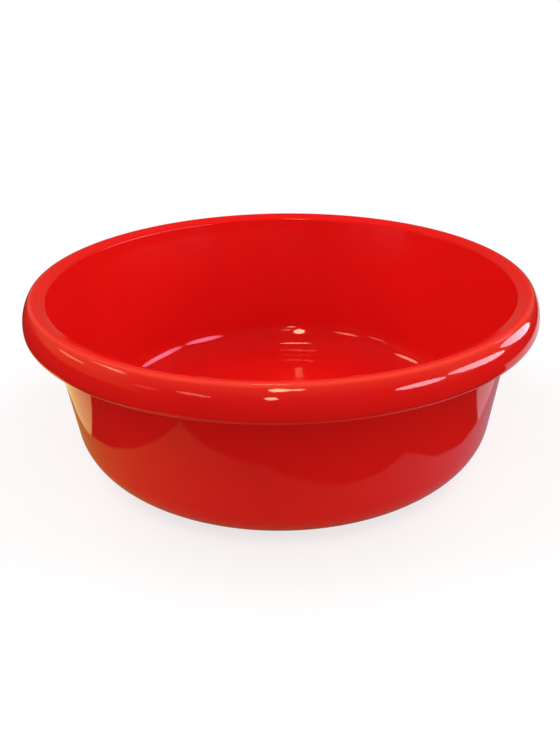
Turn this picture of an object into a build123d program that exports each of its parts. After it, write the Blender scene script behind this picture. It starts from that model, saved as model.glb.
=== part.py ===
from build123d import *
import os
from math import cos, radians, sin, tan

os.makedirs("parts", exist_ok=True)

# Round washing up bowl, one thin moulding with a rolled rim that is open underneath.
# The bowl stands on the XY plane with its axis on Z. Lengths are in millimetres, angles in degrees.

# Whole bowl
rim_diameter = 360.0
bowl_height = 126.0
wall_thickness = 1.8
wall_taper = 6.7

# Rolled rim, from its crest outwards and down to the lip
shoulder_radius = 4.5
shoulder_turn = 56.0
flank_radius = 28.0
curl_radius = 6.0
curl_turn = 50.0

# Rolled rim, from its crest inwards to the wall
crown_slope = 24.0
crown_width = 5.5

# Channel under the rim. Its sides are straight and open downwards, so the mould's core pulls out.
ceiling_reach = 1.3
bevel_height = 7.7
bead_thickness = 3.3
core_draft = 1.0

# Base
corner_radius = 30.6
foot_ring_inset = 5.0
foot_ring_width = 3.0
foot_ring_height = 1.5
foot_ring_draft = 10.0
gate_pad_diameter = 20.0
gate_pad_height = 0.4
gate_stub_diameter = 3.0
gate_stub_height = 0.6

# Webs across the channel
web_count = 8
web_thickness = 1.5
stacking_clearance = 0.8

quarter_turn = 90.0
full_turn = 360.0

# The underside of the floor is lifted off the ground by the foot ring
underside_level = foot_ring_height
floor_level = underside_level + wall_thickness
inside_corner_radius = corner_radius - wall_thickness

# The crest lies inside the widest circle by what the shoulder and the flank reach outwards
rim_radius = rim_diameter / 2
shoulder_reach = shoulder_radius * sin(radians(shoulder_turn))
flank_reach = flank_radius * (1 - sin(radians(shoulder_turn)))
crest_radius = rim_radius - shoulder_reach - flank_reach

# Nested bowls wedge where one wall fills the gap to the next. The webs stop them before that.
wedging_pitch = wall_thickness / sin(radians(wall_taper))
stacking_pitch = wedging_pitch + stacking_clearance
web_bottom = bowl_height - stacking_pitch

# Upper face of the rim, as a section through the axis. The inner edge is rounded about the
# corner of the channel below it, so it is one wall thick all the way round.
with BuildLine() as rim_face:
    shoulder = JernArc((crest_radius, bowl_height), (1, 0), shoulder_radius, -shoulder_turn)
    flank = JernArc(shoulder @ 1, shoulder % 1, flank_radius, shoulder_turn - quarter_turn)
    curl = JernArc(flank @ 1, flank % 1, curl_radius, -curl_turn)
    crest_inner = JernArc(shoulder @ 0, (-1, 0), shoulder_radius, crown_slope)
    crown = PolarLine(crest_inner @ 1, crown_width, direction=crest_inner % 1)
    inner_edge_turn = quarter_turn - crown_slope - wall_taper
    inner_edge = JernArc(crown @ 1, crown % 1, wall_thickness, inner_edge_turn)

# Inside face of the wall, straight from the rim down to the corner
with BuildLine() as wall_face:
    corner_top = floor_level + inside_corner_radius * (1 - sin(radians(wall_taper)))
    wall_length = ((inner_edge @ 1).Y - corner_top) / cos(radians(wall_taper))
    wall = PolarLine(inner_edge @ 1, wall_length, direction=inner_edge % 1)

# Channel, from the corner under the inner edge outwards and down to the lip
ceiling_level = bowl_height - wall_thickness
bevel_level = ceiling_level - bevel_height
lip_level = (curl @ 1).Y
bead_top = (rim_radius - bead_thickness, bevel_level)
bead_bottom = (bead_top[0] + (bevel_level - lip_level) * tan(radians(core_draft)), lip_level)
with BuildLine() as channel_face:
    Polyline(
        inner_edge.arc_center,
        (crest_radius, ceiling_level),
        (crest_radius + ceiling_reach, ceiling_level),
        bead_top,
        bead_bottom,
        curl @ 1,
    )

with BuildPart() as bowl:
    # Shell, turned about the axis. Wall, corner and floor are one even thickness.
    with BuildSketch(Plane.XZ):
        with BuildLine():
            add(wall_face.line)
            corner = JernArc(wall @ 1, wall % 1, inside_corner_radius, wall_taper - quarter_turn)
            Line(corner @ 1, (0, floor_level))
            offset(amount=wall_thickness, side=Side.LEFT, closed=False, mode=Mode.ADD)
            add(rim_face.line)
            add(channel_face.line)
            Line((0, underside_level), (0, floor_level))
        make_face()
    revolve(axis=Axis.Z)

    # Foot ring under the edge of the flat floor, rooted in half its thickness
    root_level = underside_level + wall_thickness / 2
    foot_ring_radius = (corner @ 1).X - foot_ring_inset
    ring_side_angle = quarter_turn + foot_ring_draft
    with BuildSketch(Plane.XZ):
        with Locations((foot_ring_radius, 0)):
            Trapezoid(foot_ring_width, root_level, ring_side_angle, align=(Align.CENTER, Align.MIN))
    revolve(axis=Axis.Z)

    # Gate pad and the stub of the gate in the middle of the underside
    with BuildSketch(Plane.XY.offset(root_level)):
        Circle(gate_pad_diameter / 2)
    extrude(amount=underside_level - gate_pad_height - root_level)
    with BuildSketch(Plane.XY.offset(root_level)):
        Circle(gate_stub_diameter / 2)
    extrude(amount=underside_level - gate_pad_height - gate_stub_height - root_level)

    # Webs across the channel, rooted in the middle of the shell, between the four main directions
    web_angles = [(index + 1 / 2) * full_turn / web_count for index in range(web_count)]
    with BuildSketch(*[Plane.XZ.rotated((0, 0, angle)) for angle in web_angles]):
        with BuildLine():
            add(rim_face.line)
            add(wall_face.line)
            rim_middle = offset(amount=wall_thickness / 2, side=Side.LEFT, closed=False)
            Line(rim_middle @ 0, rim_middle @ 1)
        make_face()
        with Locations((0, web_bottom)):
            Rectangle(rim_radius, stacking_pitch, align=(Align.MIN, Align.MIN), mode=Mode.INTERSECT)
    extrude(amount=web_thickness / 2, both=True)

bowl.part.label = "bowl"
export_step(bowl.part, "parts/bowl.step")
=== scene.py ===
from math import atan, atan2, ceil, cos, degrees, pi, radians, sin, tan

import bpy
from mathutils import Matrix, Quaternion, Vector


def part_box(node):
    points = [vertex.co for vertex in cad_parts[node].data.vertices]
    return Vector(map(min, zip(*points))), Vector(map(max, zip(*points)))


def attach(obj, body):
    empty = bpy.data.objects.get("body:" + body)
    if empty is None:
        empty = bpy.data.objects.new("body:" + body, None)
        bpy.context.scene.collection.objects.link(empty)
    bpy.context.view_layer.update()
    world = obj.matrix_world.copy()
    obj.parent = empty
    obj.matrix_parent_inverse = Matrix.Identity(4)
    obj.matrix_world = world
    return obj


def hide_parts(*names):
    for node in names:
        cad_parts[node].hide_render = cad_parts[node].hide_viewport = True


# A round washing up bowl of glossy red plastic, in metres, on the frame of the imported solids.

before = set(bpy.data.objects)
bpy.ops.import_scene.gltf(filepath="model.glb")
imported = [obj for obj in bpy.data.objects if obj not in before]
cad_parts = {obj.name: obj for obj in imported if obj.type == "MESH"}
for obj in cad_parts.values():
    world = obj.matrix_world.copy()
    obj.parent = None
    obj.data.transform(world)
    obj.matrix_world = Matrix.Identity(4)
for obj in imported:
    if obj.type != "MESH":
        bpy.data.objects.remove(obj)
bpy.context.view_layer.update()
MM = 0.001

# Sizes of the bowl. The two largest come from the frame.
low_corner, high_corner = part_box("bowl")
rim_radius = min(high_corner.x, high_corner.y, -low_corner.x, -low_corner.y)
bowl_height = high_corner.z
wall_thickness = 1.8 * MM
wall_taper = 6.7
shoulder_radius = 4.5 * MM
shoulder_turn = 56.0
flank_radius = 28.0 * MM
curl_radius = 6.0 * MM
curl_turn = 50.0
crown_slope = 24.0
crown_width = 5.5 * MM
ceiling_reach = 1.3 * MM
bevel_height = 7.7 * MM
bead_thickness = 3.3 * MM
core_draft = 1.0
corner_radius = 30.6 * MM
foot_ring_inset = 5.0 * MM
foot_ring_width = 3.0 * MM
foot_ring_height = 1.5 * MM
foot_ring_draft = 10.0
gate_pad_radius = 10.0 * MM
gate_pad_height = 0.4 * MM
gate_stub_radius = 1.5 * MM
gate_stub_height = 0.6 * MM
web_count = 8
web_thickness = 1.5 * MM
stacking_clearance = 0.8 * MM

# Small rounds that only the render needs
lip_round = 0.4 * MM
channel_round = 1.0 * MM
bevel_round = 3.0 * MM
inner_edge_round = 0.5 * MM
foot_round = 0.4 * MM
gate_round = 0.15 * MM
web_round = 0.3 * MM
web_round_steps = 2
web_sharp_angle = 40.0

# Fineness of the revolved mesh. Arcs of less than the fine radius turn in fewer, larger steps.
columns = 288
coarse_step = 3.0
fine_step = 12.0
fine_radius = 3.0 * MM
nearest_to_axis = 0.0001 * MM


class Section:
    """A line drawn in the section plane, with the material on its right.

    Each point keeps its heading in degrees, so the normal of the face is known exactly.
    """

    def __init__(self, start, heading):
        self.spot = Vector(start)
        self.heading = heading
        self.points = [(self.spot.copy(), heading)]

    def add_point(self):
        self.points.append((self.spot.copy(), self.heading))

    def line(self, length):
        self.spot += length * Vector((cos(radians(self.heading)), sin(radians(self.heading))))
        self.add_point()

    def arc(self, radius, turn):
        """Turns to the left by turn degrees, or to the right where it is negative."""
        step = fine_step if radius < fine_radius else coarse_step
        count = ceil(abs(turn) / step)
        chord = 2 * radius * sin(radians(abs(turn) / count / 2))
        for _ in range(count):
            half = turn / count / 2
            self.heading += half
            self.spot += chord * Vector((cos(radians(self.heading)), sin(radians(self.heading))))
            self.heading += half
            self.add_point()

    def corner(self, point, following, radius):
        """Runs straight to the point, which is rounded on the way to the following one."""
        along = Vector(following) - Vector(point)
        turn = degrees(atan2(along.y, along.x)) - self.heading
        turn = (turn + 180) % 360 - 180
        cut = radius * tan(radians(abs(turn) / 2))
        self.line((Vector(point) - self.spot).length - cut)
        self.arc(radius, turn)


# Levels and radii that the section hangs on
floor_level = foot_ring_height + wall_thickness
ceiling_level = bowl_height - wall_thickness
inside_corner_radius = corner_radius - wall_thickness
shoulder_reach = shoulder_radius * sin(radians(shoulder_turn))
flank_reach = flank_radius * (1 - sin(radians(shoulder_turn)))
crest_radius = rim_radius - shoulder_reach - flank_reach
stacking_pitch = wall_thickness / sin(radians(wall_taper)) + stacking_clearance
web_bottom = bowl_height - stacking_pitch

# The rim is first drawn from the crest inwards, to find how far out the wall and the floor lie
probe = Section((crest_radius, bowl_height), 180.0)
probe.arc(shoulder_radius, crown_slope)
probe.line(crown_width)
edge_heading = radians(probe.heading + 90)
channel_corner = probe.spot + wall_thickness * Vector((cos(edge_heading), sin(edge_heading)))
probe.arc(wall_thickness, 90 - crown_slope - wall_taper)
corner_top = floor_level + inside_corner_radius * (1 - sin(radians(wall_taper)))
wall_length = (probe.spot.y - corner_top) / cos(radians(wall_taper))
probe.line(wall_length)
floor_radius = probe.spot.x - inside_corner_radius * cos(radians(wall_taper))
foot_ring_radius = floor_radius - foot_ring_inset

# Inside face, then the upper face of the rim
section = Section((0.0, floor_level), 0.0)
section.line(floor_radius)
section.arc(inside_corner_radius, 90 - wall_taper)
section.line(wall_length)
section.arc(wall_thickness, crown_slope + wall_taper - 90)
section.line(crown_width)
section.arc(shoulder_radius, -crown_slope - shoulder_turn)
section.arc(flank_radius, shoulder_turn - 90)
section.arc(curl_radius, -curl_turn)

# Lip and channel
section.arc(lip_round, curl_turn - 90)
lip_level = section.spot.y
bevel_level = ceiling_level - bevel_height
bead_top = (rim_radius - bead_thickness, bevel_level)
bead_bottom = (bead_top[0] + (bevel_level - lip_level) * tan(radians(core_draft)), lip_level)
ceiling_end = (crest_radius + ceiling_reach, ceiling_level)
ceiling_start = (crest_radius, ceiling_level)
down_the_wall = radians(270 - wall_taper)
wall_below = channel_corner + wall_length * Vector((cos(down_the_wall), sin(down_the_wall)))
channel_first = len(section.points)
section.corner(bead_bottom, bead_top, lip_round)
section.corner(bead_top, ceiling_end, bevel_round)
section.corner(ceiling_end, ceiling_start, channel_round)
section.corner(ceiling_start, channel_corner, channel_round)
section.corner(channel_corner, wall_below, inner_edge_round)

# Outside of the wall and the corner
section.line((wall_below - section.spot).length)
channel_last = len(section.points)
section.arc(corner_radius, wall_taper - 90)

# Underside: foot ring, gate pad and gate stub
ring_lean = foot_ring_height * tan(radians(foot_ring_draft))
ring_outer = foot_ring_radius + foot_ring_width / 2
ring_inner = foot_ring_radius - foot_ring_width / 2
pad_level = foot_ring_height - gate_pad_height
stub_level = pad_level - gate_stub_height
underside = (
    ((ring_outer + ring_lean, foot_ring_height), foot_round),
    ((ring_outer, 0.0), foot_round),
    ((ring_inner, 0.0), foot_round),
    ((ring_inner - ring_lean, foot_ring_height), foot_round),
    ((gate_pad_radius, foot_ring_height), gate_round),
    ((gate_pad_radius, pad_level), gate_round),
    ((gate_stub_radius, pad_level), gate_round),
    ((gate_stub_radius, stub_level), gate_round),
    ((0.0, stub_level), 0.0),
)
for (spot, size), (following, _) in zip(underside, underside[1:]):
    section.corner(spot, following, size)
section.line(section.spot.x)


def revolved(points):
    """Corners, faces and corner normals of a section that is turned about the axis."""
    corners, normals, faces, rings = [], [], [], []
    for spot, heading in points:
        on_axis = spot.x < nearest_to_axis
        ring = []
        for column in range(1 if on_axis else columns):
            around = 2 * pi * column / columns
            across = -sin(radians(heading)) if not on_axis else 0.0
            ring.append(len(corners))
            corners.append((max(spot.x, 0.0) * cos(around), max(spot.x, 0.0) * sin(around), spot.y))
            normals.append(Vector((across * cos(around), across * sin(around), cos(radians(heading)))))
        rings.append(ring)
    for one, two in zip(rings, rings[1:]):
        for column in range(columns):
            after = (column + 1) % columns
            if len(one) == 1:
                faces.append((one[0], two[column], two[after]))
            elif len(two) == 1:
                faces.append((one[column], two[0], one[after]))
            else:
                faces.append((one[column], two[column], two[after], one[after]))
    return corners, faces, normals


def new_piece(name, corners, faces, normals=None):
    """A smooth piece, with the normals at its corners where they are known."""
    mesh = bpy.data.meshes.new(name)
    mesh.from_pydata(corners, [], faces)
    mesh.validate()
    mesh.polygons.foreach_set("use_smooth", [True] * len(mesh.polygons))
    if normals:
        mesh.normals_split_custom_set_from_vertices([n.normalized() for n in normals])
    mesh.update()
    piece = bpy.data.objects.new(name, mesh)
    bpy.context.scene.collection.objects.link(piece)
    return piece


def web_outline():
    """The channel's outline, sunk into the middle of the shell and closed along the bottom."""
    sunk = []
    for spot, heading in section.points[channel_first:channel_last]:
        inwards = Vector((sin(radians(heading)), -cos(radians(heading))))
        if spot.y > web_bottom:
            sunk.append(spot + inwards * wall_thickness / 2)
    return [Vector((sunk[0].x, web_bottom)), *sunk, Vector((sunk[-1].x, web_bottom))]


def webs_around(outline):
    """Corners and faces of flat webs with that outline, evenly spaced about the axis."""
    corners, faces = [], []
    count = len(outline)
    for web in range(web_count):
        turn = Matrix.Rotation(2 * pi * (web + 0.5) / web_count, 3, "Z")
        first = len(corners)
        for side in (-1, 1):
            corners += [turn @ Vector((p.x, side * web_thickness / 2, p.y)) for p in outline]
        near = [first + i for i in range(count)]
        far = [first + count + i for i in range(count)]
        faces.append(tuple(near))
        faces.append(tuple(reversed(far)))
        for i in range(count):
            j = (i + 1) % count
            faces.append((near[j], near[i], far[i], far[j]))
    return corners, faces


shell = new_piece("bowl_shell", *revolved(section.points))
webs = new_piece("rim_webs", *webs_around(web_outline()))
rounding = webs.modifiers.new("rounded edges", "BEVEL")
rounding.width = web_round
rounding.segments = web_round_steps
rounding.limit_method = "ANGLE"
rounding.angle_limit = radians(web_sharp_angle)
rounding.harden_normals = True


def node(tree, kind, **values):
    """A new node with its inputs or properties set by name."""
    made = tree.nodes.new(kind)
    for key, value in values.items():
        if key in made.inputs:
            made.inputs[key].default_value = value
        else:
            setattr(made, key, value)
    return made


def feed(tree, value, socket):
    """Links the value to the socket, or sets it where the value is a plain one."""
    if isinstance(value, bpy.types.NodeSocket):
        tree.links.new(value, socket)
    else:
        socket.default_value = value


def calculate(tree, operation, *values):
    """The number that an operation makes of one, two or three numbers."""
    made = node(tree, "ShaderNodeMath", operation=operation)
    for value, socket in zip(values, made.inputs):
        feed(tree, value, socket)
    return made.outputs["Value"]


def ramp(tree, value, start, end, low=0.0, high=1.0, shape="SMOOTHSTEP"):
    """Goes from low to high as the value goes from start to end."""
    made = node(tree, "ShaderNodeMapRange", interpolation_type=shape)
    made.inputs["From Min"].default_value = start
    made.inputs["From Max"].default_value = end
    made.inputs["To Min"].default_value = low
    made.inputs["To Max"].default_value = high
    feed(tree, value, made.inputs["Value"])
    return made.outputs["Result"]


def blend(tree, share, first, second):
    """A colour that goes from the first to the second as the share goes from 0 to 1."""
    made = node(tree, "ShaderNodeMix", data_type="RGBA")
    feed(tree, share, made.inputs[0])
    feed(tree, first, made.inputs[6])
    feed(tree, second, made.inputs[7])
    return made.outputs[2]


def vector(tree, operation, first, second):
    """The vector that an operation makes of two vectors, or of a vector and a scale."""
    made = node(tree, "ShaderNodeVectorMath", operation=operation)
    feed(tree, first, made.inputs[0])
    feed(tree, second, made.inputs["Scale" if operation == "SCALE" else 1])
    return made.outputs["Vector"]


def measure(tree, operation, *vectors):
    """The number that an operation makes of one or two vectors."""
    made = node(tree, "ShaderNodeVectorMath", operation=operation)
    for value, socket in zip(vectors, made.inputs):
        feed(tree, value, socket)
    return made.outputs["Value"]


def axes(tree, value):
    """The X, Y and Z of a vector, by name."""
    made = node(tree, "ShaderNodeSeparateXYZ")
    feed(tree, value, made.inputs["Vector"])
    return made.outputs


def noise(tree, place, scale, detail, roughness=0.5):
    """The colour and the level of a noise with that many spots to a metre."""
    made = node(tree, "ShaderNodeTexNoise", Scale=scale, Detail=detail, Roughness=roughness)
    feed(tree, place, made.inputs["Vector"])
    return made.outputs


def grey(level):
    return (level, level, level, 1.0)


# Plastic
refraction = 1.49
deep_red = (0.70, 0.0074, 0.0062, 1.0)
light_red = (0.75, 0.0086, 0.0070, 1.0)
painted_sheen_red = (0.80, 0.050, 0.028, 1.0)
cloud_scale = 9.0
cloud_low, cloud_high = 0.35, 0.65
smear_scale = 26.0
smear_low, smear_high = 0.35, 0.75
clean_roughness = 0.035
smeared_roughness = 0.08
ripple_scale = 17.0
ripple_strength = 0.35
ripple_depth = 1.2 * MM
grain_scale = 420.0
grain_strength = 0.12
grain_depth = 0.06 * MM

# A painted sheen, as of light from above: a paler band outside the crest, on the part of the rim that faces
# up
painted_sheen_from = 116 * MM
painted_sheen_full = 122 * MM
painted_sheen_fade = 2.5 * MM
painted_sheen_tilt_start = 0.3
painted_sheen_tilt_full = 0.95

# The dull band lies on the inside of the wall
rubbed_from = 30 * MM
rubbed_full = 50 * MM
rubbed_fade = 112 * MM
rubbed_end = 118 * MM
rubbed_roughness = 0.10


def pigment(tree, place, height, facing, from_axis):
    """Red with slow clouds in it, and a painted sheen: paler and more orange on the up-facing rim shoulder
    outside the crest.
    """
    clouds = noise(tree, place, cloud_scale, detail=3.0)
    tint = node(tree, "ShaderNodeValToRGB")
    low, high = tint.color_ramp.elements
    low.position, low.color = cloud_low, deep_red
    high.position, high.color = cloud_high, light_red
    feed(tree, clouds["Fac"], tint.inputs["Fac"])

    # Painted sheen: the rim outside the crest turns paler orange where it faces up
    on_rim = ramp(tree, height, painted_sheen_from, painted_sheen_full)
    facing_up = ramp(tree, axes(tree, facing)["Z"], painted_sheen_tilt_start, painted_sheen_tilt_full)
    past_crest = ramp(tree, from_axis, crest_radius, crest_radius + painted_sheen_fade)
    painted_sheen = calculate(tree, "MULTIPLY", past_crest, calculate(tree, "MULTIPLY", on_rim, facing_up))
    return blend(tree, painted_sheen, tint.outputs["Color"], painted_sheen_red)


def dullness(tree, place, height, outwards):
    """Smears all over the gloss, and a duller band where dishes rub the inside of the wall."""
    smears = noise(tree, place, smear_scale, detail=5.0, roughness=0.62)
    smeared = ramp(tree, smears["Fac"], smear_low, smear_high, clean_roughness, smeared_roughness, "LINEAR")

    inside = ramp(tree, outwards, -wall_thickness, -rim_radius / 2)
    above = ramp(tree, height, rubbed_from, rubbed_full)
    below = ramp(tree, height, rubbed_end, rubbed_fade)
    rubbed = calculate(tree, "MULTIPLY", inside, calculate(tree, "MULTIPLY", above, below))
    return calculate(tree, "ADD", smeared, calculate(tree, "MULTIPLY", rubbed, rubbed_roughness))


def skin_relief(tree, place):
    """The slow ripple of the moulding, with a fine grain on it."""
    ripple = noise(tree, place, ripple_scale, detail=1.0, roughness=0.4)
    wave = node(tree, "ShaderNodeBump", Strength=ripple_strength, Distance=ripple_depth)
    feed(tree, ripple["Fac"], wave.inputs["Height"])
    grain = noise(tree, place, grain_scale, detail=2.0)
    peel = node(tree, "ShaderNodeBump", Strength=grain_strength, Distance=grain_depth)
    feed(tree, grain["Fac"], peel.inputs["Height"])
    feed(tree, wave.outputs["Normal"], peel.inputs["Normal"])
    return peel.outputs["Normal"]


def glossy_plastic():
    """Red moulded plastic with a mirror-like skin."""
    material = bpy.data.materials.new("bowl_plastic")
    material.use_nodes = True
    tree = material.node_tree
    skin = tree.nodes["Principled BSDF"]
    skin.inputs["IOR"].default_value = refraction
    coordinates = node(tree, "ShaderNodeTexCoord").outputs
    place, facing = coordinates["Object"], coordinates["Normal"]
    height = axes(tree, place)["Z"]
    level_place = vector(tree, "MULTIPLY", place, (1.0, 1.0, 0.0))
    from_axis = measure(tree, "LENGTH", level_place)
    outwards = measure(tree, "DOT_PRODUCT", level_place, facing)
    feed(tree, pigment(tree, place, height, facing, from_axis), skin.inputs["Base Color"])
    feed(tree, dullness(tree, place, height, outwards), skin.inputs["Roughness"])
    feed(tree, skin_relief(tree, place), skin.inputs["Normal"])
    return material


plastic = glossy_plastic()
for piece in (shell, webs):
    piece.data.materials.append(plastic)
    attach(piece, "root")
    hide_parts("bowl")


# Floor. The camera sees it white, with a faint shadow. The light sees a pale sheet, with a darker table in
# front.
# The gloss sees the floor glow as a painted reflection: that sheet, a dark table in front, bright ground at
# its sides.
floor_size = 6.0
shadow_reach = 300 * MM
shadow_end = 750 * MM
shadow_strength = 0.28
camera_white = 0.97
sheet_light = 0.92
table_light = 0.45

# Edges of the sheet: the way each one faces, in degrees from the front towards the right, and
# its distance from the bowl's axis
sheet_edges = ((-79, 187 * MM), (-5, 221 * MM), (19, 198 * MM), (65, 190 * MM))
edge_softness = 4 * MM
edge_wander = 18 * MM
edge_wander_scale = 11.0
side_start = -45 * MM
side_middle = 20 * MM
ground_end_left = 270 * MM
ground_end_right = 420 * MM
ground_fade = 60 * MM
# Colours of the painted reflection that the floor glows with for glossy rays
sheet_reflection_left = (0.42, 0.27, 0.07, 1.0)
sheet_reflection_middle = (0.17, 0.14, 0.09, 1.0)
sheet_reflection_right = (0.36, 0.30, 0.36, 1.0)
table_reflection = (0.03, 0.02, 0.015, 1.0)
ground_reflection_left = (1.1, 0.95, 0.40, 1.0)
ground_reflection_right = (0.78, 0.68, 0.74, 1.0)


def past_edges(tree, x, y):
    """How far a place on the floor lies past the edges of the sheet."""
    past = None
    for facing, distance in sheet_edges:
        along_x = calculate(tree, "MULTIPLY", x, sin(radians(facing)))
        reach = calculate(tree, "MULTIPLY_ADD", y, -cos(radians(facing)), along_x)
        beyond = calculate(tree, "SUBTRACT", reach, distance)
        past = beyond if past is None else calculate(tree, "MAXIMUM", past, beyond)
    return past


def painted_reflection_tone(tree, x, off_sheet, at_side):
    """The painted reflection that the floor glows with for the gloss: sheet, table, or the ground at its
    two sides.
    """
    left_half = ramp(tree, x, -sheet_edges[0][1], -side_middle)
    right_half = ramp(tree, x, side_middle, sheet_edges[-1][1])
    sheet = blend(tree, right_half, blend(tree, left_half, sheet_reflection_left, sheet_reflection_middle), sheet_reflection_right)
    ground = blend(tree, ramp(tree, x, -side_middle, side_middle), ground_reflection_left, ground_reflection_right)
    far_left = ramp(tree, x, -ground_end_left, -ground_end_left - ground_fade)
    far_right = ramp(tree, x, ground_end_right, ground_end_right + ground_fade)
    ground = blend(tree, calculate(tree, "MAXIMUM", far_left, far_right), ground, table_reflection)
    return blend(tree, off_sheet, sheet, blend(tree, at_side, table_reflection, ground))


def mix(tree, share, first, second):
    """One shader that goes over into another as the share goes from 0 to 1."""
    made = node(tree, "ShaderNodeMixShader")
    feed(tree, share, made.inputs["Fac"])
    feed(tree, first, made.inputs[1])
    feed(tree, second, made.inputs[2])
    return made.outputs["Shader"]


def floor_paint():
    """White to the camera with a faint shadow, and a glowing painted reflection of sheet, table and ground
    to the gloss.
    """
    material = bpy.data.materials.new("floor_paint")
    material.use_nodes = True
    tree = material.node_tree
    tree.nodes.remove(tree.nodes["Principled BSDF"])
    rays = node(tree, "ShaderNodeLightPath").outputs
    place = node(tree, "ShaderNodeTexCoord").outputs["Object"]

    # The edges wander a little, so their reflection on the wall isn't ruled
    wander = noise(tree, place, edge_wander_scale, detail=1.0)
    centred = vector(tree, "SUBTRACT", wander["Color"], (0.5, 0.5, 0.5))
    across = axes(tree, vector(tree, "ADD", place, vector(tree, "SCALE", centred, edge_wander)))
    x, y = across["X"], across["Y"]
    off_sheet = ramp(tree, past_edges(tree, x, y), 0.0, edge_softness)
    at_side = ramp(tree, y, side_start, side_start + edge_softness)
    # The floor glows for glossy rays alone, as a painted reflection on the bowl
    painted_reflection = node(tree, "ShaderNodeEmission")
    feed(tree, painted_reflection_tone(tree, x, off_sheet, at_side), painted_reflection.inputs["Color"])

    dull = calculate(tree, "MULTIPLY", off_sheet, calculate(tree, "SUBTRACT", 1.0, at_side))
    light = blend(tree, dull, grey(sheet_light), grey(table_light))
    lit = node(tree, "ShaderNodeBsdfDiffuse")
    feed(tree, blend(tree, rays["Is Camera Ray"], light, grey(camera_white)), lit.inputs["Color"])

    # Away from the bowl the camera sees plain white. Near it some of the shadow shows.
    white = node(tree, "ShaderNodeEmission", Strength=1.0)
    fade = ramp(tree, measure(tree, "LENGTH", place), shadow_reach, shadow_end, 1 - shadow_strength)
    whitened = calculate(tree, "MULTIPLY", fade, rays["Is Camera Ray"])
    seen = mix(tree, whitened, lit.outputs["BSDF"], white.outputs["Emission"])
    both = mix(tree, rays["Is Glossy Ray"], seen, painted_reflection.outputs["Emission"])
    feed(tree, both, tree.nodes["Material Output"].inputs["Surface"])
    return material


floor_corners = [(x * floor_size, y * floor_size, 0.0) for x, y in ((-1, -1), (1, -1), (1, 1), (-1, 1))]
floor_mesh = bpy.data.meshes.new("floor")
floor_mesh.from_pydata(floor_corners, [], [(0, 1, 2, 3)])
floor = bpy.data.objects.new("floor", floor_mesh)
floor.data.materials.append(floor_paint())
bpy.context.scene.collection.objects.link(floor)

# World: white to the camera, an even dim level for the rest of the light. The gloss sees a dark
# room in front, a warm wall on the left and behind, and a dim one on the right. The shares say
# how far a direction points that way.
soft_level = 0.05
back_start = 0.3
back_full = 0.9
wall_start = 0.80
wall_full = 0.95
left_wall = (0.50, 0.27, 0.10, 1.0)
right_wall = (0.30, 0.17, 0.09, 1.0)
back_wall = (0.25, 0.14, 0.10, 1.0)
front_dark = (0.04, 0.035, 0.035, 1.0)


def room_light():
    """White to the camera, dim and even to the light, and a room with walls to the gloss."""
    world = bpy.data.worlds.new("studio")
    world.use_nodes = True
    tree = world.node_tree
    rays = node(tree, "ShaderNodeLightPath").outputs
    towards = axes(tree, node(tree, "ShaderNodeTexCoord").outputs["Generated"])
    room = blend(tree, ramp(tree, towards["Y"], back_start, back_full), front_dark, back_wall)
    room = blend(tree, ramp(tree, towards["X"], -wall_start, -wall_full), room, left_wall)
    room = blend(tree, ramp(tree, towards["X"], wall_start, wall_full), room, right_wall)
    light = blend(tree, rays["Is Glossy Ray"], grey(soft_level), room)
    shown = blend(tree, rays["Is Camera Ray"], light, grey(1.0))
    feed(tree, shown, tree.nodes["Background"].inputs["Color"])
    return world


bpy.context.scene.world = room_light()

# Lamps. Those that light the bowl's colour are apart from those that its gloss mirrors.
fill_distance = 1500 * MM
near_fill = 550 * MM
far_lamp = 1200 * MM
near_lamp = 500 * MM
widest_beam = 179.0
bowl_middle = (0.0, 0.0, 63.0)
plain = (1.0, 1.0, 1.0)
warm = (1.0, 0.72, 0.42)
amber = (1.0, 0.60, 0.33)
cool = (1.0, 0.80, 0.95)
pink = (1.0, 0.36, 0.60)


def lamp(name, spot, azimuth, elevation, width, height, distance, roll=0.0):
    """An oval lamp that faces a spot on the bowl, given in millimetres.

    Azimuth 0 is towards the camera and 90 to its right. Width and height are in degrees, as the
    spot sees them. Roll lifts the end with the larger azimuth.
    """
    data = bpy.data.lights.new(name, "AREA")
    data.shape = "ELLIPSE"
    data.size = 2 * distance * tan(radians(width / 2))
    data.size_y = 2 * distance * tan(radians(height / 2))
    a, e = radians(azimuth), radians(elevation)
    outwards = Vector((sin(a) * cos(e), -cos(a) * cos(e), sin(e)))
    made = bpy.data.objects.new(name, data)
    made.location = outwards * distance + Vector(spot) * MM
    made.rotation_mode = "QUATERNION"
    made.rotation_quaternion = outwards.to_track_quat("Z", "Y") @ Quaternion((0.0, 0.0, 1.0), radians(roll))
    made.visible_camera = False
    bpy.context.scene.collection.objects.link(made)
    return made


def set_radiance(made, radiance, colour):
    """Sets the power that makes an oval lamp glow at that radiance."""
    data = made.data
    data.energy = radiance * pi * data.size * data.size_y * pi / 4
    data.color = colour


def fill(name, azimuth, elevation, width, height, radiance, distance=fill_distance):
    """A lamp that lights the bowl's colour and isn't mirrored in its gloss."""
    made = lamp(name, bowl_middle, azimuth, elevation, width, height, distance)
    set_radiance(made, radiance, plain)
    made.visible_glossy = False


def highlight(name, spot, azimuth, elevation, width, height, radiance, colour, roll=0.0, beam=180.0,
              distance=far_lamp):
    """A lamp that is only mirrored in the gloss, at a spot on the bowl given in millimetres.

    A near lamp with a narrow beam is seen from around the spot alone. The narrower the beam, the
    more a lamp of the same power glows, so its radiance is divided by that gain.
    """
    made = lamp(name, spot, azimuth, elevation, width, height, distance, roll)
    half = radians(min(beam, widest_beam) / 2)
    gain = tan(half) / (tan(half) - half)
    set_radiance(made, radiance / gain if beam < 180.0 else radiance, colour)
    made.data.spread = radians(beam)
    made.visible_diffuse = False


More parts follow.
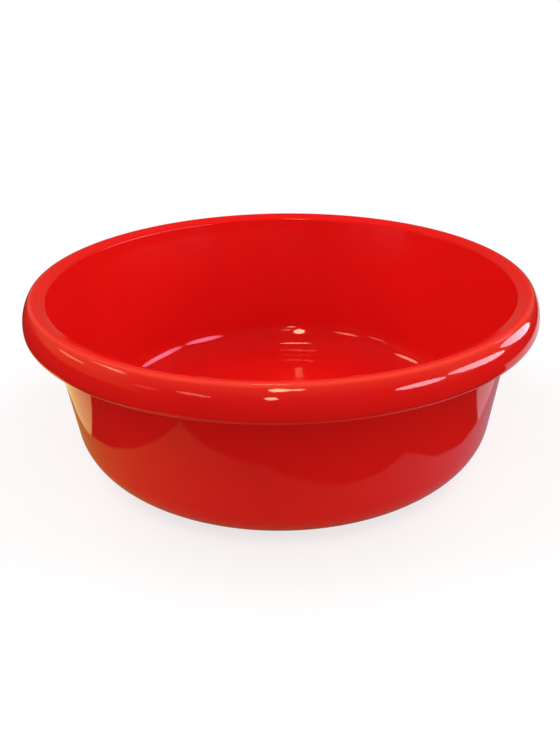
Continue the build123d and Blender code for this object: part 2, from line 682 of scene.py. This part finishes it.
fill("fill_near", azimuth=0, elevation=48, width=26, height=16, radiance=3.0, distance=near_fill)
fill("fill_top", azimuth=0, elevation=88, width=60, height=60, radiance=0.5)
fill("fill_front", azimuth=0, elevation=45, width=60, height=20, radiance=1.15)
fill("fill_low", azimuth=0, elevation=18, width=60, height=20, radiance=1.6)
fill("fill_left", azimuth=-100, elevation=50, width=60, height=30, radiance=4.2)
fill("fill_right", azimuth=100, elevation=50, width=60, height=30, radiance=3.8)
fill("fill_low_left", azimuth=-75, elevation=14, width=50, height=20, radiance=2.0)
fill("fill_low_right", azimuth=75, elevation=14, width=50, height=20, radiance=3.4)

# Lights of the room, named after the place where the bowl mirrors them
highlight("rim_front", spot=(1, -175, 123), azimuth=-2.9, elevation=36.8, width=10, height=7.5,
          radiance=22, colour=warm, beam=18, distance=near_lamp)
highlight("rim_front_right", spot=(8, -175, 123), azimuth=5.6, elevation=36.6, width=7, height=4.2,
          radiance=15, colour=warm, roll=3, beam=14, distance=near_lamp)
highlight("rim_front_small", spot=(-7, -178, 119), azimuth=-5.7, elevation=18.5, width=6, height=6.5,
          radiance=15, colour=warm)
highlight("rim_right_near", spot=(73, -162, 119), azimuth=56.1, elevation=9.5, width=24, height=8,
          radiance=9, colour=cool, roll=-8)
highlight("rim_right_mid", spot=(108, -139, 120), azimuth=85.3, elevation=6.3, width=35, height=9,
          radiance=8, colour=cool, roll=-18.7)
highlight("rim_right_far", spot=(138, -107, 122), azimuth=113.3, elevation=3.2, width=29, height=10,
          radiance=5.5, colour=cool, roll=-28)
highlight("rim_left_far", spot=(-120, -129, 123), azimuth=-96.9, elevation=11.7, width=17, height=3.5,
          radiance=3, colour=amber, roll=9.8)
highlight("rim_left_mid", spot=(-96, -146, 124), azimuth=-81.9, elevation=26.1, width=23, height=6,
          radiance=9, colour=warm, roll=-8.2, beam=28, distance=near_lamp)
highlight("rim_left_low", spot=(-74, -162, 119), azimuth=-57.1, elevation=11.5, width=12, height=3,
          radiance=1.6, colour=amber, roll=3)
highlight("rim_left_near", spot=(-47, -171, 119), azimuth=-36.7, elevation=15.8, width=15, height=4.5,
          radiance=4, colour=amber, roll=-8)
highlight("inside_left_far", spot=(-104, 105, 19), azimuth=88.9, elevation=26, width=32.5, height=14,
          radiance=12, colour=pink, roll=2, beam=60, distance=near_lamp)
highlight("inside_left_near", spot=(-70, 132, 20), azimuth=53.2, elevation=26, width=19, height=13,
          radiance=12, colour=pink, roll=-7.6, beam=44, distance=near_lamp)
highlight("inside_spot", spot=(14, 149, 18), azimuth=-10.2, elevation=34.7, width=4.5, height=17,
          radiance=24, colour=warm, beam=40, distance=450 * MM)
highlight("inside_line", spot=(13, 140, 9), azimuth=-24.8, elevation=80, width=9.5, height=2.8,
          radiance=22, colour=amber, roll=34)
highlight("inside_right_near", spot=(59, 137, 19), azimuth=-42, elevation=27, width=12, height=6.5,
          radiance=7, colour=warm, roll=-15, beam=24, distance=near_lamp)
highlight("inside_right_mid", spot=(85, 123, 20), azimuth=-61.2, elevation=21.5, width=10, height=4.5,
          radiance=3.5, colour=warm, roll=-8, beam=24, distance=near_lamp)
highlight("inside_right_far", spot=(110, 94, 13), azimuth=-98.7, elevation=40.5, width=12, height=7.5,
          radiance=11, colour=warm, roll=18.3, beam=24, distance=near_lamp)
highlight("inside_right_edge", spot=(123, 84, 18), azimuth=-97.5, elevation=19.5, width=7, height=3,
          radiance=5, colour=amber, roll=5, beam=24, distance=near_lamp)

# Camera, at the photo's angle. Aim and shift are in pixels of the photo.
photo_height = 744
film_width = 36.0
focal_pixels = 760.0
nearest_seen = 10 * MM
camera_distance = 574.27 * MM
camera_elevation = 24.67
camera_roll = 0.91
aim_right, aim_down = -24.98, -30.79
shift_right, shift_down = 30.0, 12.28

data = bpy.data.cameras.new("camera")
data.sensor_width = film_width
data.lens = focal_pixels * data.sensor_width / photo_height
data.shift_x = -shift_right / photo_height
data.shift_y = shift_down / photo_height
data.clip_start = nearest_seen
camera = bpy.data.objects.new("camera", data)
target = Vector((0.0, 0.0, bowl_height / 2))
tilt = radians(camera_elevation)
ahead = Vector((0.0, cos(tilt), -sin(tilt)))
right = Vector((1.0, 0.0, 0.0))
up = right.cross(ahead)
camera.location = target - ahead * camera_distance


def turned(direction, axis, angle):
    return Matrix.Rotation(angle, 3, axis) @ direction


pan = atan(aim_right / focal_pixels)
ahead, right = turned(ahead, up, pan), turned(right, up, pan)
nod = atan(aim_down / focal_pixels)
ahead, up = turned(ahead, right, nod), turned(up, right, nod)
roll = radians(camera_roll)
right, up = turned(right, ahead, roll), turned(up, ahead, roll)
camera.rotation_mode = "QUATERNION"
camera.rotation_quaternion = Matrix((right, up, -ahead)).transposed().to_quaternion()
bpy.context.scene.collection.objects.link(camera)
bpy.context.scene.camera = camera

bpy.context.scene.view_settings.view_transform = "Standard"
